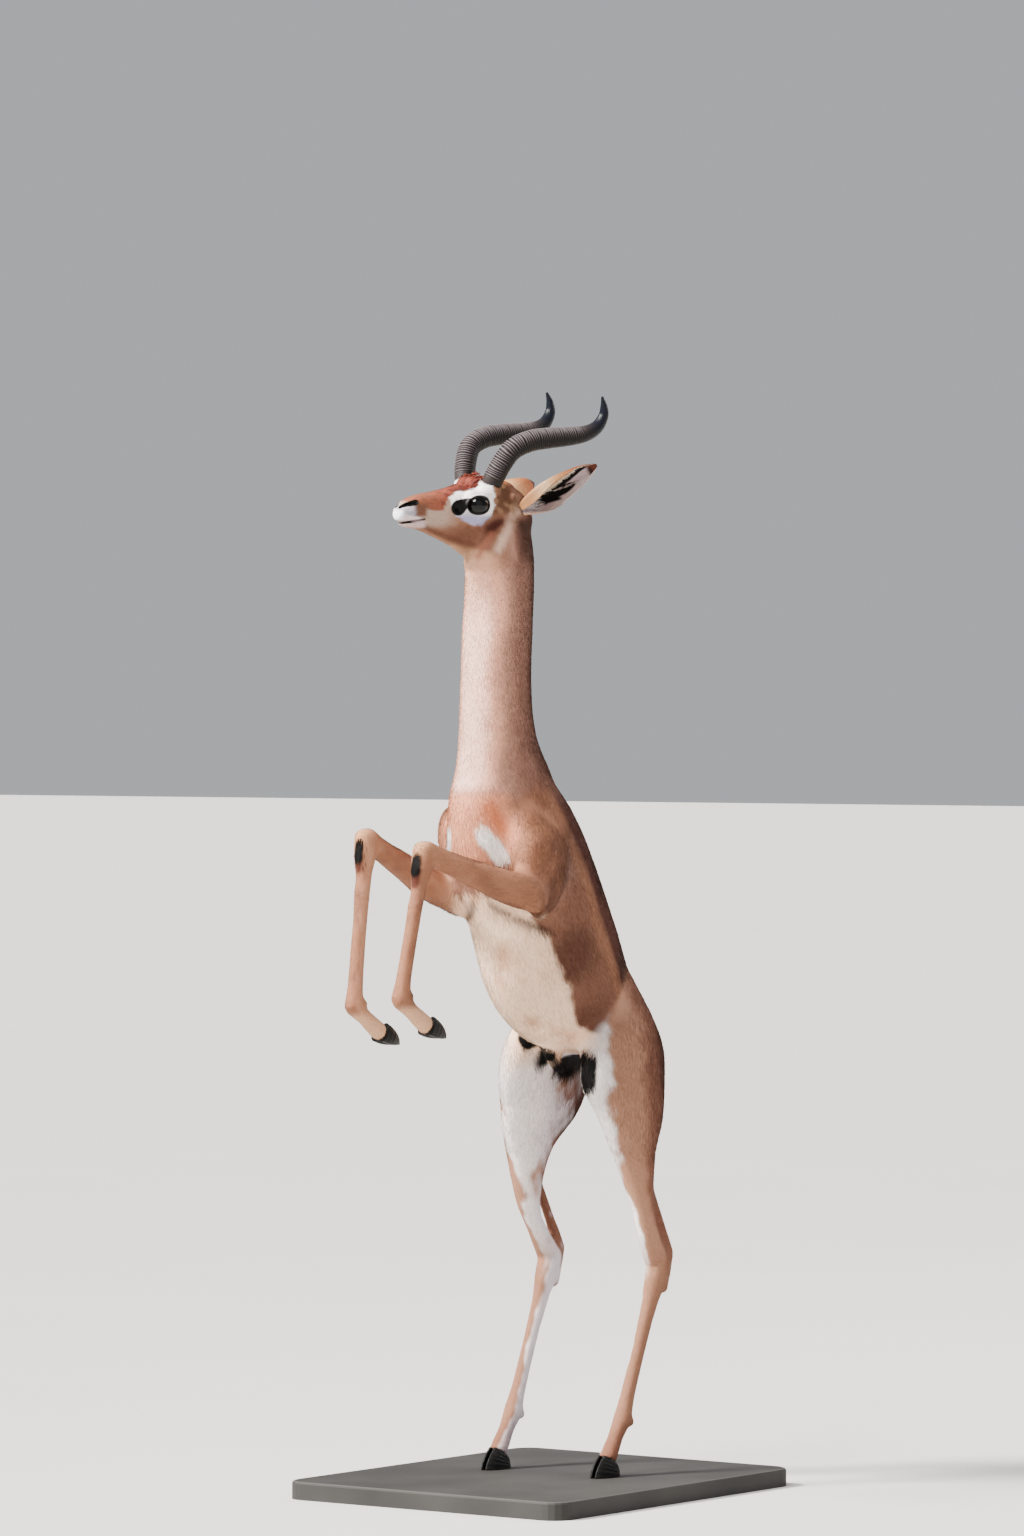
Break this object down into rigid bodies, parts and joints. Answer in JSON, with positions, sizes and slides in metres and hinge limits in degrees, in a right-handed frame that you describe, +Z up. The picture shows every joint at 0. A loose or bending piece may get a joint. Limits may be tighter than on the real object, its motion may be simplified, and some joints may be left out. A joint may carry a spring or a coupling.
{
  "type": "gerenuk",
  "caption": "Male long-necked browsing antelope standing upright on its hind legs with folded forelegs, a still life-size model on a plain flat base.",
  "frame": {"origin": "middle of the underside of the display base", "axes": "+Z up, the animal faces -Y, its left side is towards +X"},
  "size_m": [0.56, 0.7652, 1.8145],
  "materials": {
    "coat": "short smooth fur, tan to brown above and white below",
    "horn": "satin ringed horn",
    "hoof": "satin black horn",
    "eye": "wet gloss",
    "base": "matt dark grey"
  },
  "bodies": {
    "root": {"torso": "coat", "neck": "coat", "head": "coat", "tail": "coat", "ear_left": "coat", "ear_right": "coat", "eye_left": "eye", "eye_right": "eye", "horn_left": "horn", "horn_right": "horn", "foreleg_forearm_left": "coat", "foreleg_forearm_right": "coat", "foreleg_cannon_left": "coat", "foreleg_cannon_right": "coat", "hindleg_thigh_left": "coat", "hindleg_thigh_right": "coat", "hindleg_shank_left": "coat", "hindleg_shank_right": "coat", "hindleg_cannon_left": "coat", "hindleg_cannon_right": "coat", "hoof_hind_left_outer": "hoof", "hoof_hind_left_inner": "hoof", "hoof_hind_right_outer": "hoof", "hoof_hind_right_inner": "hoof", "hoof_fore_left_outer": "hoof", "hoof_fore_left_inner": "hoof", "hoof_fore_right_outer": "hoof", "hoof_fore_right_inner": "hoof", "stand_base": "base"}
  },
  "joints": []
}
